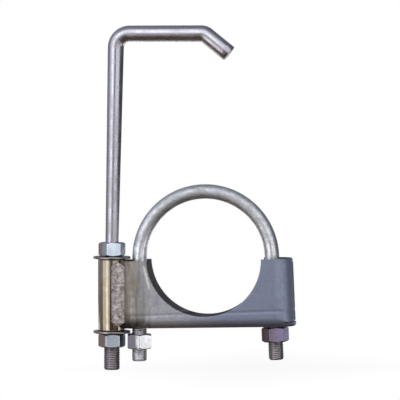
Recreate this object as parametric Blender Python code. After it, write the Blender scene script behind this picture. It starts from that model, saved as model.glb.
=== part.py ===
"""Exhaust hanger: a U-bolt pipe clamp with a short tube welded to one end, which carries a bent hook rod.

Metres, +Z up. The origin is the centre of the clamped pipe, which runs along Y. The hook rod stands at -X.
"""

import math

import bmesh
import bpy
from mathutils import Matrix, Vector

# Clamped pipe and the clearances between pieces
PIPE_DIAMETER = 0.06985
SEATED_GAP = 0.0003
THREAD_CLEARANCE = 0.0003

# U-bolt
BOLT_SLACK = 0.0003
BAR_DIAMETER = 0.0086
BOLT_THREAD_DIAMETER = 0.0090
BOLT_THREAD_LENGTH = 0.0300
BOLT_TAIL = 0.0199
END_LEAN = math.radians(1.3)

# Saddle, folded from one sheet
SHEET = 0.0026
SADDLE_WIDTH = 0.0256
SEAT_BITE = 0.0010
SEAT_DROP = 0.0001
RIM_DROP = 0.0007
LAND_UNDER_SEAT = 0.0069
SIDE_BEND = 0.0058
END_BEND = 0.0018
LEAST_INNER_BEND = 0.0003
HOLE_CLEARANCE = 0.0006
TIP_GAP = 0.0076
TIP_ROUND = 0.0032
RELIEF_SLIT = 0.0006
RELIEF_REACH = 0.0066
ROLLED_EDGE = 0.0009

# Tube that carries the hook rod, and its two weld beads
TUBE_DIAMETER = 0.0165
TUBE_BORE = 0.0106
TUBE_CHAMFER = 0.0004
TUBE_RISE = 0.0001
TUBE_DROP = 0.0013
TUBE_NESTLE = 0.0044
WELD_TOP = 0.0026
WELD_FOOT = 0.0028
WELD_RIPPLE = 0.0021
WELD_CROWN = 0.0009
WELD_DIP = 0.25
WELD_ON_TUBE = math.radians(81)
WELD_ON_SHEET = math.radians(51)

# Nuts and washers
NUT_FLATS = 0.01415
NUT_CHAMFER = math.radians(30)
NUT_FACE_SHARE = 0.95
NUT_COUNTERSINK = 0.0004
NUT_SWING_CLEARANCE = 0.00025
ROD_NUT_HEIGHT = 0.0081
BOLT_NUT_HEIGHT = 0.0088
WASHER_DIAMETER = 0.0222
WASHER_BORE = 0.0104
WASHER_THICKNESS = 0.0014
WASHER_EDGE = 0.0003

# How far each nut is turned, from a flat facing the front
UPPER_NUT_TURN = math.radians(17)
LOWER_NUT_TURN = math.radians(12)
LEFT_NUT_TURN = math.radians(37.4)
RIGHT_NUT_TURN = math.radians(10)

# Chamfer at the ends of the U-bolt and the rod
BAR_END_CHAMFER = 0.0008

# Hook rod
ROD_THREAD_DIAMETER = 0.0096
SHANK_DIAMETER = 0.0078
HOOK_DIAMETER = 0.0097
HOOK_TIP_DIAMETER = 0.0100
THREAD_RUN_OUT = 0.0012
ROD_TAIL = 0.0136
SHANK_LEAN = math.radians(1.1)
HOOK_RISE = 0.1341
HOOK_BEND_RADIUS = 0.0083
ARM_REACH = 0.0551
TIP_BEND_RADIUS = 0.0056
TIP_LENGTH = 0.0190
TIP_DROP = math.radians(39)

# How finely round shapes are divided
ROUND_STEPS = 24
HOLE_STEPS = 24
SEAT_STEPS = 96
BEND_STEPS = 6
ROLL_STEPS = 3
KINK_STEPS = 2
HOOK_BEND_STEPS = 12
TIP_BEND_STEPS = 8
RIPPLE_STEPS = 3
WELD_STEPS = 5
SMOOTH_UP_TO = math.radians(35)
CLEAR_OF_CORNERS = 1.02

# What follows from those sizes
pipe_radius = PIPE_DIAMETER / 2
bolt_radius = pipe_radius + BOLT_SLACK + BAR_DIAMETER / 2
seat_radius = pipe_radius - SEAT_BITE
base_z = -(SEAT_DROP + seat_radius + LAND_UNDER_SEAT)
half_width = SADDLE_WIDTH / 2
bolt_thread_radius = BOLT_THREAD_DIAMETER / 2
rod_thread_radius = ROD_THREAD_DIAMETER / 2
tube_radius = TUBE_DIAMETER / 2
nut_corner_radius = NUT_FLATS / 2 / math.cos(math.radians(30))
leg_to_tube = 2 * nut_corner_radius + NUT_SWING_CLEARANCE
end_reach = leg_to_tube - tube_radius + TUBE_NESTLE
tube_length = TUBE_RISE - base_z + TUBE_DROP
weld_bottom = -base_z - WELD_FOOT


def leg_x(z):
    """How far a leg's axis is from the clamp's middle at height z."""
    return bolt_radius * math.cos(END_LEAN) + (bolt_radius * math.sin(END_LEAN) - z) * math.tan(END_LEAN)


def finish(name, colour, metallic, roughness):
    """A plain Principled material."""
    material = bpy.data.materials.new(name)
    material.use_nodes = True
    shader = material.node_tree.nodes["Principled BSDF"]
    shader.inputs["Base Color"].default_value = (*colour, 1.0)
    shader.inputs["Metallic"].default_value = metallic
    shader.inputs["Roughness"].default_value = roughness
    return material


def add_object(name, bm, material=None, parent=None, location=(0, 0, 0), turn=0.0):
    """Closes the mesh code of one piece: faces outwards, round sides smooth, placed under its parent."""
    bmesh.ops.recalc_face_normals(bm, faces=bm.faces)
    mesh = bpy.data.meshes.new(name)
    bm.to_mesh(mesh)
    bm.free()
    mesh.shade_smooth()
    mesh.set_sharp_from_angle(angle=SMOOTH_UP_TO)
    piece = bpy.data.objects.new(name, mesh)
    bpy.context.scene.collection.objects.link(piece)
    if material:
        mesh.materials.append(material)
    piece.parent = parent
    piece.location = location
    piece.rotation_euler = (0, 0, turn)
    return piece


def add_cutter(name, bm, parent=None, location=(0, 0, 0)):
    """A helper for a Boolean, left out of the model."""
    cutter = add_object(name, bm, parent=parent, location=location)
    cutter.hide_render = True
    cutter.display_type = "WIRE"
    return cutter


def combine(piece, other, operation):
    """One Boolean modifier on a piece."""
    modifier = piece.modifiers.new(other.name, "BOOLEAN")
    modifier.operation = operation
    modifier.object = other


def add_axis(name, x, lean):
    """An empty whose own Z is a leaning axis through (x, 0, 0)."""
    axis = bpy.data.objects.new(name, None)
    bpy.context.scene.collection.objects.link(axis)
    axis.location = (x, 0, 0)
    axis.rotation_euler = (0, lean, 0)
    return axis


def bridge(bm, first, second):
    """Quads between two closed rings of as many points."""
    count = len(first)
    for i in range(count):
        bm.faces.new((first[i], first[(i + 1) % count], second[(i + 1) % count], second[i]))


def ring(bm, points):
    return [bm.verts.new(point) for point in points]


def circle_points(radius, z, steps):
    angles = [math.tau * i / steps for i in range(steps)]
    return [Vector((radius * math.cos(a), radius * math.sin(a), z)) for a in angles]


def turned(profile, steps=ROUND_STEPS, hollow=False):
    """A body turned about Z from (radius, z) points; a hollow one closes on itself, others get caps."""
    bm = bmesh.new()
    rings = [ring(bm, circle_points(radius, z, steps)) for radius, z in profile]
    for first, second in zip(rings, rings[1:]):
        bridge(bm, first, second)
    if hollow:
        bridge(bm, rings[-1], rings[0])
    else:
        bm.faces.new(rings[0])
        bm.faces.new(rings[-1])
    return bm


def sweep(stations, steps=ROUND_STEPS):
    """A round bar along a path in the XZ plane; each station is (point, tangent, radius)."""
    bm = bmesh.new()
    rings = []
    for point, tangent, radius in stations:
        side = tangent.cross(Vector((0, 1, 0)))
        turn = Matrix((side, Vector((0, 1, 0)), tangent)).transposed()
        rings.append(ring(bm, [point + turn @ p for p in circle_points(radius, 0, steps)]))
    for first, second in zip(rings, rings[1:]):
        bridge(bm, first, second)
    bm.faces.new(rings[0])
    bm.faces.new(rings[-1])
    return bm


def filleted(corners, radii, steps):
    """(point, tangent) pairs along a line through the corners, with each inner corner rounded."""
    path = []
    directions = [(b - a).normalized() for a, b in zip(corners, corners[1:])]
    path.append((corners[0], directions[0]))
    for corner, before, after, radius, count in zip(corners[1:-1], directions, directions[1:], radii, steps):
        turn = before.angle(after)
        run = radius * math.tan(turn / 2)
        start = corner - before * run
        axis = before.cross(after).normalized()
        centre = start + axis.cross(before) * radius
        for i in range(count + 1):
            rotation = Matrix.Rotation(turn * i / count, 3, axis)
            path.append((centre + rotation @ (start - centre), rotation @ before))
    path.append((corners[-1], directions[-1]))
    return path


def saddle_ring(bm, depth_in, heights):
    """A ring round the saddle; its depth inside the outer face and its height follow the end's arc."""
    points = []
    for end in (1, -1):
        for i in range(ROUND_STEPS // 2 + 1):
            along = math.pi * (i / (ROUND_STEPS // 2) - 0.5)
            inset, z = depth_in(along), heights(along)
            radius = half_width - inset
            centre = leg_x(z) + end_reach - half_width
            points.append((end * (centre + radius * math.cos(along)), end * radius * math.sin(along), z))
    return ring(bm, points)


def saddle_bend(along):
    """The outer bend radius at the foot of the wall: tight at the ends, wide along the sides."""
    return END_BEND + (SIDE_BEND - END_BEND) * math.sin(along) ** 2


def saddle_skin(bm, inset):
    """Rings down one face of the sheet: the rim, the wall and the bend into the base."""

    def bend(along):
        return max(saddle_bend(along) - inset, LEAST_INNER_BEND)

    rings = [saddle_ring(bm, lambda along: inset, lambda along: -RIM_DROP)]
    for i in range(BEND_STEPS + 1):
        turn = math.pi / 2 * i / BEND_STEPS
        rings.append(
            saddle_ring(
                bm,
                lambda along: inset + bend(along) * (1 - math.cos(turn)),
                lambda along: base_z + inset + bend(along) * (1 - math.sin(turn)),
            )
        )
    for first, second in zip(rings, rings[1:]):
        bridge(bm, first, second)
    bm.faces.new(rings[-1])
    return rings[0]


def prism(outline, thickness, axis):
    """A closed prism of an outline given as 3-D points, extruded along an axis."""
    bm = bmesh.new()
    near = ring(bm, outline)
    far = ring(bm, [Vector(point) + Vector(axis) * thickness for point in outline])
    bridge(bm, near, far)
    bm.faces.new(near)
    bm.faces.new(far)
    return bm


def seat_cutter():
    """The bore that leaves the pipe seat; it flares where the blanking die rolled the edge over."""
    flat = half_width - ROLLED_EDGE
    beyond = 2 * half_width
    profile = []
    for i in range(ROLL_STEPS + 1):
        turn = math.pi / 2 * i / ROLL_STEPS
        radius = seat_radius + ROLLED_EDGE * (1 - math.cos(turn))
        profile.append((radius, flat + ROLLED_EDGE * math.sin(turn)))
    profile.append((seat_radius + ROLLED_EDGE, beyond))
    mirrored = [(radius, -y) for radius, y in reversed(profile)]
    bm = turned(mirrored + profile, SEAT_STEPS)
    bmesh.ops.rotate(bm, verts=bm.verts, matrix=Matrix.Rotation(math.radians(-90), 3, "X"))
    return add_cutter("pipe_bore", bm, location=(0, 0, -SEAT_DROP))


def tip_gap_cutter(name, end):
    """The gap between the two wrapped ends of the sheet, with the tips' upper corners rounded off."""
    x = end * (leg_x(0) + end_reach - half_width)
    bottom = base_z + SHEET
    side = []
    for i in range(BEND_STEPS + 1):
        turn = math.pi / 2 * i / BEND_STEPS
        y = TIP_GAP / 2 + TIP_ROUND * (1 - math.cos(turn))
        side.append((x, y, -RIM_DROP - TIP_ROUND + TIP_ROUND * math.sin(turn)))
    top = (x, TIP_GAP / 2 + TIP_ROUND, SHEET)
    right = [(x, TIP_GAP / 2, bottom), *side, top]
    left = [(x, -y, z) for _, y, z in reversed(right)]
    return add_cutter(name, prism(right + left, SADDLE_WIDTH, (end, 0, 0)))


def relief_cutter(name, end):
    """The thin slit that parts a wrapped end from the base's tongue."""
    low = base_z + SHEET
    near = end * (leg_x(low) + RELIEF_REACH)
    outline = [(near, y, z) for y, z in ((-1, 0), (1, 0), (1, 1), (-1, 1))]
    outline = [(x, y * SADDLE_WIDTH, low + z * RELIEF_SLIT) for x, y, z in outline]
    return add_cutter(name, prism(outline, SADDLE_WIDTH, (end, 0, 0)))


def add_saddle(material, axes):
    """The saddle: one sheet folded up on all sides, its ends wrapped round the bolt's legs."""
    bm = bmesh.new()
    bridge(bm, saddle_skin(bm, 0.0), saddle_skin(bm, SHEET))
    saddle = add_object("saddle", bm, material)
    combine(saddle, seat_cutter(), "DIFFERENCE")
    for side, end in (("left", -1), ("right", 1)):
        combine(saddle, tip_gap_cutter(f"tip_gap_{side}", end), "DIFFERENCE")
        combine(saddle, relief_cutter(f"relief_{side}", end), "DIFFERENCE")
        hole_radius = bolt_thread_radius + HOLE_CLEARANCE
        hole = turned([(hole_radius, base_z - SHEET), (hole_radius, base_z + 2 * SHEET)], HOLE_STEPS)
        combine(saddle, add_cutter(f"bolt_hole_{side}", hole, axes[side]), "DIFFERENCE")
    scallop_radius = tube_radius + SEATED_GAP
    scallop = turned([(scallop_radius, base_z - tube_length), (scallop_radius, tube_length)], SEAT_STEPS)
    combine(saddle, add_cutter("tube_scallop", scallop, axes["tube"]), "DIFFERENCE")


def add_u_bolt(material):
    """The U-bolt: a bar bent round the pipe, its two legs splayed a little and threaded at their ends."""
    end_z = base_z - BOLT_TAIL
    steps = ROUND_STEPS
    down = Vector((math.sin(END_LEAN), 0, -math.cos(END_LEAN)))
    start = Vector((bolt_radius * math.cos(END_LEAN), 0, bolt_radius * math.sin(END_LEAN)))
    leg_length = (start.z - end_z) / math.cos(END_LEAN)
    bar = BAR_DIAMETER / 2
    chamfer = BAR_END_CHAMFER
    thread_top = leg_length - BOLT_THREAD_LENGTH
    right_leg = [
        (thread_top - (bolt_thread_radius - bar), bar),
        (thread_top, bolt_thread_radius),
        (leg_length - chamfer, bolt_thread_radius),
        (leg_length, bolt_thread_radius - chamfer),
    ]
    leg = [(start + down * run, down, radius) for run, radius in right_leg]
    arc = []
    for i in range(steps + 1):
        angle = math.pi - END_LEAN - (math.pi - 2 * END_LEAN) * i / steps
        outward = Vector((math.cos(angle), 0, math.sin(angle)))
        tangent = Vector((math.sin(angle), 0, -math.cos(angle)))
        arc.append((outward * bolt_radius, tangent, bar))
    mirrored = [
        (Vector((-point.x, 0, point.z)), Vector((tangent.x, 0, -tangent.z)), radius)
        for point, tangent, radius in reversed(leg)
    ]
    add_object("u_bolt", sweep(mirrored + arc + leg, ROUND_STEPS), material)


def add_tube(material, axis):
    """The tube, with both bore and rim edges broken."""
    top = TUBE_RISE
    bottom = top - tube_length
    bore = TUBE_BORE / 2
    edge = TUBE_CHAMFER
    profile = [
        (tube_radius - edge, top),
        (bore + edge, top),
        (bore, top - edge),
        (bore, bottom + edge),
        (bore + edge, bottom),
        (tube_radius - edge, bottom),
        (tube_radius, bottom + edge),
        (tube_radius, top - edge),
    ]
    add_object("hanger_tube", turned(profile, 2 * ROUND_STEPS, hollow=True), material, axis)


def weld_outline(height, side):
    """The bead's section in plan: it fills the groove between the tube and the wrapped end of the sheet."""
    tube = tube_radius + SEATED_GAP
    shell = half_width + SEATED_GAP
    apart = leg_to_tube - (end_reach - half_width)
    middle = (apart**2 + tube**2 - shell**2) / (2 * apart)
    root_on_tube = math.acos(middle / tube)
    root_on_shell = math.acos((apart - middle) / shell)
    shares = [i / WELD_STEPS for i in range(WELD_STEPS + 1)]
    tube_angles = [root_on_tube + (WELD_ON_TUBE - root_on_tube) * share for share in shares]
    shell_angles = [root_on_shell + (WELD_ON_SHEET - root_on_shell) * share for share in shares]
    on_tube = [Vector((tube * math.cos(a), tube * math.sin(a))) for a in tube_angles]
    on_shell = [Vector((apart - shell * math.cos(a), shell * math.sin(a))) for a in shell_angles]
    start, end = on_shell[-1], on_tube[-1]
    ripple = 0.5 + 0.5 * math.cos(math.tau * height / WELD_RIPPLE)
    crown = WELD_CROWN * (1 - WELD_DIP * (1 - ripple))
    outward = Vector((start.y - end.y, end.x - start.x)).normalized()
    outward = outward if outward.y > 0 else -outward
    face = []
    for i in range(1, WELD_STEPS + 1):
        share = i / (WELD_STEPS + 1)
        face.append(start.lerp(end, share) + outward * crown * math.sin(math.pi * share))
    outline = on_shell + face + list(reversed(on_tube[1:]))
    return [Vector((p.x, side * p.y, height)) for p in outline]


def add_weld(name, material, axis, side):
    """One weld bead, laid down in ripples along the groove."""
    bm = bmesh.new()
    count = RIPPLE_STEPS * round((weld_bottom - WELD_TOP) / WELD_RIPPLE)
    heights = [-WELD_TOP - (weld_bottom - WELD_TOP) * i / count for i in range(count + 1)]
    rings = [ring(bm, weld_outline(height, side)) for height in heights]
    for first, second in zip(rings, rings[1:]):
        bridge(bm, first, second)
    bm.faces.new(rings[0])
    bm.faces.new(rings[-1])
    add_object(name, bm, material, axis)


def add_washer(name, material, axis, top):
    """A flat washer with its edges broken."""
    outer, bore, edge = WASHER_DIAMETER / 2, WASHER_BORE / 2, WASHER_EDGE
    bottom = top - WASHER_THICKNESS
    profile = [
        (outer - edge, top),
        (bore + edge, top),
        (bore, top - edge),
        (bore, bottom + edge),
        (bore + edge, bottom),
        (outer - edge, bottom),
        (outer, bottom + edge),
        (outer, top - edge),
    ]
    add_object(name, turned(profile, hollow=True), material, axis)


def add_nut(name, material, axis, top, height, thread_radius, turn):
    """A hexagon nut whose corners are chamfered at both faces, with a clear round bore."""
    bottom = top - height
    hexagon = turned([(nut_corner_radius, bottom), (nut_corner_radius, top)], 6)
    face_radius = NUT_FLATS / 2 * NUT_FACE_SHARE
    rim = nut_corner_radius * CLEAR_OF_CORNERS
    rise = (rim - face_radius) * math.tan(NUT_CHAMFER)
    blank = turned([(face_radius, bottom), (rim, bottom + rise), (rim, top - rise), (face_radius, top)])
    bore_radius = thread_radius + THREAD_CLEARANCE
    sink = NUT_COUNTERSINK
    bore = turned(
        [
            (bore_radius + 2 * sink, bottom - sink),
            (bore_radius, bottom + sink),
            (bore_radius, top - sink),
            (bore_radius + 2 * sink, top + sink),
        ],
        HOLE_STEPS,
    )
    nut = add_object(name, hexagon, material, axis, turn=turn)
    combine(nut, add_cutter(f"{name}_chamfer", blank, axis), "INTERSECT")
    combine(nut, add_cutter(f"{name}_bore", bore, axis), "DIFFERENCE")


def add_hook_rod(material, axis):
    """The hook rod: threaded through the tube, leaning slightly above it, bent over twice into a hook."""
    bottom = TUBE_RISE - tube_length - WASHER_THICKNESS - ROD_NUT_HEIGHT - 2 * SEATED_GAP - ROD_TAIL
    nut_top = TUBE_RISE + WASHER_THICKNESS + ROD_NUT_HEIGHT + 2 * SEATED_GAP
    thread_top = nut_top - THREAD_RUN_OUT
    hook_z = TUBE_RISE + HOOK_RISE
    corners = [
        Vector((0, 0, bottom)),
        Vector((0, 0, nut_top)),
        Vector(((hook_z - nut_top) * math.tan(SHANK_LEAN), 0, hook_z)),
        Vector((ARM_REACH, 0, hook_z)),
        Vector((ARM_REACH + TIP_LENGTH * math.cos(TIP_DROP), 0, hook_z - TIP_LENGTH * math.sin(TIP_DROP))),
    ]
    bends = (HOOK_BEND_RADIUS, HOOK_BEND_RADIUS, TIP_BEND_RADIUS)
    path = filleted(corners, bends, (KINK_STEPS, HOOK_BEND_STEPS, TIP_BEND_STEPS))
    up = Vector((0, 0, 1))
    chamfer = BAR_END_CHAMFER
    shank = SHANK_DIAMETER / 2
    stations = [
        (corners[0], up, rod_thread_radius - chamfer),
        (corners[0] + up * chamfer, up, rod_thread_radius),
        (Vector((0, 0, thread_top)), up, rod_thread_radius),
        (Vector((0, 0, thread_top + THREAD_RUN_OUT / 2)), up, shank),
    ]
    travelled = 0.0
    whole = sum((b[0] - a[0]).length for a, b in zip(path[1:], path[2:]))
    hook_share = (hook_z - nut_top) / whole
    previous = path[1][0]
    for point, tangent in path[1:]:
        travelled += (point - previous).length
        previous = point
        share = travelled / whole
        if share < hook_share:
            radius = shank + (HOOK_DIAMETER / 2 - shank) * share / hook_share
        else:
            grown = (share - hook_share) / (1 - hook_share)
            radius = HOOK_DIAMETER / 2 + (HOOK_TIP_DIAMETER - HOOK_DIAMETER) / 2 * grown
        stations.append((point, tangent, radius))
    add_object("hook_rod", sweep(stations), material, axis)


def main():
    for obj in list(bpy.data.objects):
        bpy.data.objects.remove(obj, do_unlink=True)
    sheet_steel = finish("sheet_steel", (0.33, 0.34, 0.38), 0.9, 0.45)
    gold_zinc = finish("gold_zinc", (0.62, 0.52, 0.22), 1.0, 0.3)
    bright_zinc = finish("bright_zinc", (0.62, 0.64, 0.70), 1.0, 0.3)
    weld_metal = finish("weld_metal", (0.42, 0.37, 0.36), 0.8, 0.6)
    axes = {
        "left": add_axis("left_leg_axis", -leg_x(0), END_LEAN),
        "right": add_axis("right_leg_axis", leg_x(0), -END_LEAN),
        "tube": add_axis("tube_axis", -leg_x(0) - leg_to_tube / math.cos(END_LEAN), END_LEAN),
    }
    add_saddle(sheet_steel, axes)
    add_u_bolt(bright_zinc)
    add_tube(gold_zinc, axes["tube"])
    add_weld("weld_bead_front", weld_metal, axes["tube"], -1)
    add_weld("weld_bead_rear", weld_metal, axes["tube"], 1)

    tube, rod = axes["tube"], (ROD_NUT_HEIGHT, rod_thread_radius)
    washer_top = TUBE_RISE + SEATED_GAP + WASHER_THICKNESS
    add_washer("upper_washer", gold_zinc, tube, washer_top)
    nut_top = washer_top + SEATED_GAP + ROD_NUT_HEIGHT
    add_nut("upper_rod_nut", bright_zinc, tube, nut_top, *rod, UPPER_NUT_TURN)
    low_washer_top = TUBE_RISE - tube_length - SEATED_GAP
    add_washer("lower_washer", gold_zinc, tube, low_washer_top)
    below_washer = low_washer_top - WASHER_THICKNESS - SEATED_GAP
    add_nut("lower_rod_nut", bright_zinc, tube, below_washer, *rod, LOWER_NUT_TURN)

    bolt = BOLT_NUT_HEIGHT, bolt_thread_radius
    backed_off = below_washer - leg_to_tube * math.tan(END_LEAN)
    tight = (base_z - SEATED_GAP) / math.cos(END_LEAN) - nut_corner_radius * math.tan(END_LEAN)
    add_nut("u_bolt_nut_left", bright_zinc, axes["left"], backed_off, *bolt, LEFT_NUT_TURN)
    add_nut("u_bolt_nut_right", bright_zinc, axes["right"], tight, *bolt, RIGHT_NUT_TURN)
    add_hook_rod(bright_zinc, axes["tube"])


if __name__ == "__main__":
    main()
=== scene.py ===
"""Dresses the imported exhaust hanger: finer pieces, threads, finishes, a studio and a camera.

Metres, +Z up, the origin in the middle of the clamped pipe, which runs along Y.
"""

import math

import bmesh
import bpy
from bpy.props import FloatProperty, FloatVectorProperty, PointerProperty
from mathutils import Matrix, Vector, noise


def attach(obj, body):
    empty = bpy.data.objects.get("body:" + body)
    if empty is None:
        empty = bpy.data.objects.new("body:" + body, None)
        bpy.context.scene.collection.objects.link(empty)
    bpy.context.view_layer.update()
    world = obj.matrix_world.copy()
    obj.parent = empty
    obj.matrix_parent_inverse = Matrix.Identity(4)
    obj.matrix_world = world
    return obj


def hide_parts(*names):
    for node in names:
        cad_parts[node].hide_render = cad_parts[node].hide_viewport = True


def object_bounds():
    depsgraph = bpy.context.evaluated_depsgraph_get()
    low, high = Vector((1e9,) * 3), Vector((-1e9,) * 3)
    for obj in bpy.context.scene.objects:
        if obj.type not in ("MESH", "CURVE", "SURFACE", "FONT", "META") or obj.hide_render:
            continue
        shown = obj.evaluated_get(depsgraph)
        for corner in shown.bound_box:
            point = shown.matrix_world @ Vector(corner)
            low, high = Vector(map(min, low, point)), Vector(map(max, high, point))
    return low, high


bl_info = {
    "name": "Exhaust hanger",
    "version": (1, 0, 0),
    "blender": (4, 5, 0),
    "location": "View3D > Sidebar > Hanger",
    "description": "Builds a U-bolt pipe clamp with a hook rod, its finishes and its studio",
    "category": "Add Mesh",
}

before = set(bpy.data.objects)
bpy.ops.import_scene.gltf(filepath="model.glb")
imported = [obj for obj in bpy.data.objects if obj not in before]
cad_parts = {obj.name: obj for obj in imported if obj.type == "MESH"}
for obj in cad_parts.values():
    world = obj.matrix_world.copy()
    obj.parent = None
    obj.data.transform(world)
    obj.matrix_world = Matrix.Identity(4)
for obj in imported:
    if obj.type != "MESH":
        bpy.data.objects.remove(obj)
cad_low, cad_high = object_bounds()


# Sizes and colours ----------------------------------------------------------------------


def length(name, default, description):
    return FloatProperty(
        name=name, description=description, default=default, min=0.0, unit="LENGTH", precision=5
    )


def angle(name, degrees, description):
    return FloatProperty(
        name=name, description=description, default=math.radians(degrees), subtype="ANGLE"
    )


def level(name, default, description):
    return FloatProperty(name=name, description=description, default=default, min=0.0)


def colour(name, default, description):
    return FloatVectorProperty(
        name=name, description=description, default=default, subtype="COLOR", min=0.0, max=1.0
    )


class ClampSizes(bpy.types.PropertyGroup):
    """The U-bolt and the saddle that it pulls against the pipe."""

    pipe_diameter: length("Pipe", 0.06985, "Outer diameter of the pipe that the clamp takes")
    bolt_slack: length("Slack", 0.0003, "Gap between the pipe and the U-bolt")
    bar_diameter: length("Bar", 0.0086, "Diameter of the U-bolt's plain bar")
    thread_diameter: length("Thread", 0.0090, "Outer diameter of the U-bolt's threads")
    thread_length: length("Thread length", 0.0300, "Length of each threaded leg end")
    bolt_tail: length("Tail", 0.0199, "How far the legs reach below the saddle's base")
    end_lean: angle("Lean", 1.3, "How far each leg and each end of the saddle splays outwards")
    sheet: length("Sheet", 0.0026, "Thickness of the saddle's sheet")
    width: length("Width", 0.0256, "Width of the saddle along the pipe")
    seat_bite: length("Seat bite", 0.0010, "How much smaller the seat's radius is than the pipe's")
    seat_drop: length("Seat drop", 0.0001, "How far the seat's centre lies under the pipe's")
    rim_drop: length("Rim drop", 0.0007, "How far the walls' rims lie under the pipe's centre")
    land: length("Land", 0.0069, "Height of metal left under the seat")
    side_bend: length("Side bend", 0.0058, "Outer radius of the fold along the sides")
    end_bend: length("End bend", 0.0018, "Outer radius of the fold at the ends")
    hole_clearance: length("Hole clearance", 0.0006, "Gap round each leg in the base")
    tip_gap: length("Tip gap", 0.0076, "Gap between the two wrapped ends of the sheet")
    tip_round: length("Tip round", 0.0032, "Radius of the wrapped ends' upper corners")
    slit: length("Slit", 0.0006, "Height of the slit between a wrapped end and the base")
    slit_reach: length("Slit reach", 0.0066, "How far outside the leg's axis the slit starts")
    crease_left: length("Crease left", 0.0078, "Height of the wall's crease at the left end")
    crease_right: length("Crease right", 0.0096, "Height of the wall's crease at the right end")
    crease_width: length("Crease width", 0.0030, "Width of the crease")
    crease_depth: length("Crease depth", 0.00014, "Depth of the crease")
    rolled_edge: length("Rolled edge", 0.0004, "Radius of the seat's outer edges")
    broken_edge: length("Broken edge", 0.00032, "Bevel on the sheet's other edges")

    @property
    def bolt_radius(self):
        return self.pipe_diameter / 2 + self.bolt_slack + self.bar_diameter / 2

    @property
    def seat_radius(self):
        return self.pipe_diameter / 2 - self.seat_bite

    @property
    def base_z(self):
        return -(self.seat_drop + self.seat_radius + self.land)

    def leg_x(self, z):
        """How far a leg's axis is from the clamp's middle at height z."""
        lean, bend = self.end_lean, self.bolt_radius
        return bend * math.cos(lean) + (bend * math.sin(lean) - z) * math.tan(lean)


class TubeSizes(bpy.types.PropertyGroup):
    """The tube that carries the hook rod, and the weld beads that hold it."""

    diameter: length("Diameter", 0.0165, "Outer diameter of the tube")
    bore: length("Bore", 0.0106, "Bore of the tube")
    edge: length("Edge", 0.0004, "Radius of the tube's edges")
    rise: length("Rise", 0.0001, "How far the tube's top lies above the pipe's centre")
    drop: length("Drop", 0.0013, "How far the tube's foot lies below the saddle's base")
    nestle: length("Nestle", 0.0044, "How deep the tube sits in the saddle's wrapped end")
    weld_top: length("Weld top", 0.0018, "Where the weld starts, below the pipe's centre")
    weld_foot: length("Weld foot", 0.0022, "Where the weld ends, above the saddle's base")
    weld_crown: length("Weld crown", 0.0008, "Height of the weld's crown")
    weld_ripple: length("Weld ripple", 0.0021, "Distance between the weld's ripples")
    weld_lumps: length("Weld lumps", 0.00016, "Height of the weld's lumps and pits")
    weld_on_tube: angle("Weld on tube", 84, "How far round the tube the weld reaches")
    weld_on_sheet: angle("Weld on sheet", 53, "How far round the saddle's end the weld reaches")


class HardwareSizes(bpy.types.PropertyGroup):
    """Nuts, washers and threads."""

    seated_gap: length("Seated gap", 0.0003, "Gap between two seated pieces")
    pitch: length("Pitch", 0.00105833, "Distance between two turns of the thread")
    thread_depth: length("Thread depth", 0.00032, "Depth of the thread")
    nut_flats: length("Across flats", 0.01415, "Width of the nuts across flats")
    nut_clearance: length("Nut clearance", 0.0003, "Gap between a nut's bore and the thread in it")
    nut_swing: length("Swing clearance", 0.00025, "Gap that lets two neighbouring nuts turn")
    nut_sink: length("Nut countersink", 0.0005, "Depth of the countersink in a nut's bore")
    nut_edge: length("Nut edge", 0.00022, "Bevel on the nuts' edges")
    rod_nut_height: length("Rod nut height", 0.0081, "Height of the hook rod's nuts")
    bolt_nut_height: length("Bolt nut height", 0.0088, "Height of the U-bolt's nuts")
    washer_diameter: length("Washer", 0.0222, "Outer diameter of the washers")
    washer_bore: length("Washer bore", 0.0104, "Bore of the washers")
    washer_thickness: length("Washer thickness", 0.0014, "Thickness of the washers")
    washer_edge: length("Washer edge", 0.0004, "Radius of the washers' edges")
    upper_turn: angle("Upper nut turn", 17, "How far the upper rod nut is turned")
    lower_turn: angle("Lower nut turn", 12, "How far the lower rod nut is turned")
    left_turn: angle("Left nut turn", 37.4, "How far the left U-bolt nut is turned")
    right_turn: angle("Right nut turn", 10, "How far the right U-bolt nut is turned")

    @property
    def corner_radius(self):
        return self.nut_flats / 2 / math.cos(math.radians(30))


class RodSizes(bpy.types.PropertyGroup):
    """The hook rod."""

    thread_diameter: length("Thread", 0.0096, "Outer diameter of the rod's thread")
    shank_diameter: length("Shank", 0.0078, "Diameter of the rod just above its upper nut")
    hook_diameter: length("Hook", 0.0097, "Diameter of the rod at its first bend")
    tip_diameter: length("Tip", 0.0100, "Diameter of the rod at its tip")
    tail: length("Tail", 0.0136, "How far the rod reaches below its lower nut")
    end_chamfer: length("End chamfer", 0.0008, "Chamfer at the threaded ends")
    tip_chamfer: length("Tip chamfer", 0.0004, "Chamfer at the hook's tip")
    run_out: length("Run-out", 0.0012, "Length over which the thread ends in the shank")
    shank_lean: angle("Shank lean", 1.1, "How far the shank leans away from its threaded end")
    hook_rise: length("Hook rise", 0.1341, "Height of the hook above the tube's top")
    hook_bend: length("Hook bend", 0.0083, "Radius of the first bend")
    arm_reach: length("Arm reach", 0.0551, "How far the second bend is from the tube's axis")
    tip_bend: length("Tip bend", 0.0056, "Radius of the second bend")
    tip_length: length("Tip length", 0.0190, "Length of the tip beyond the second bend")
    tip_drop: angle("Tip drop", 39, "How steeply the tip drops")


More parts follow.
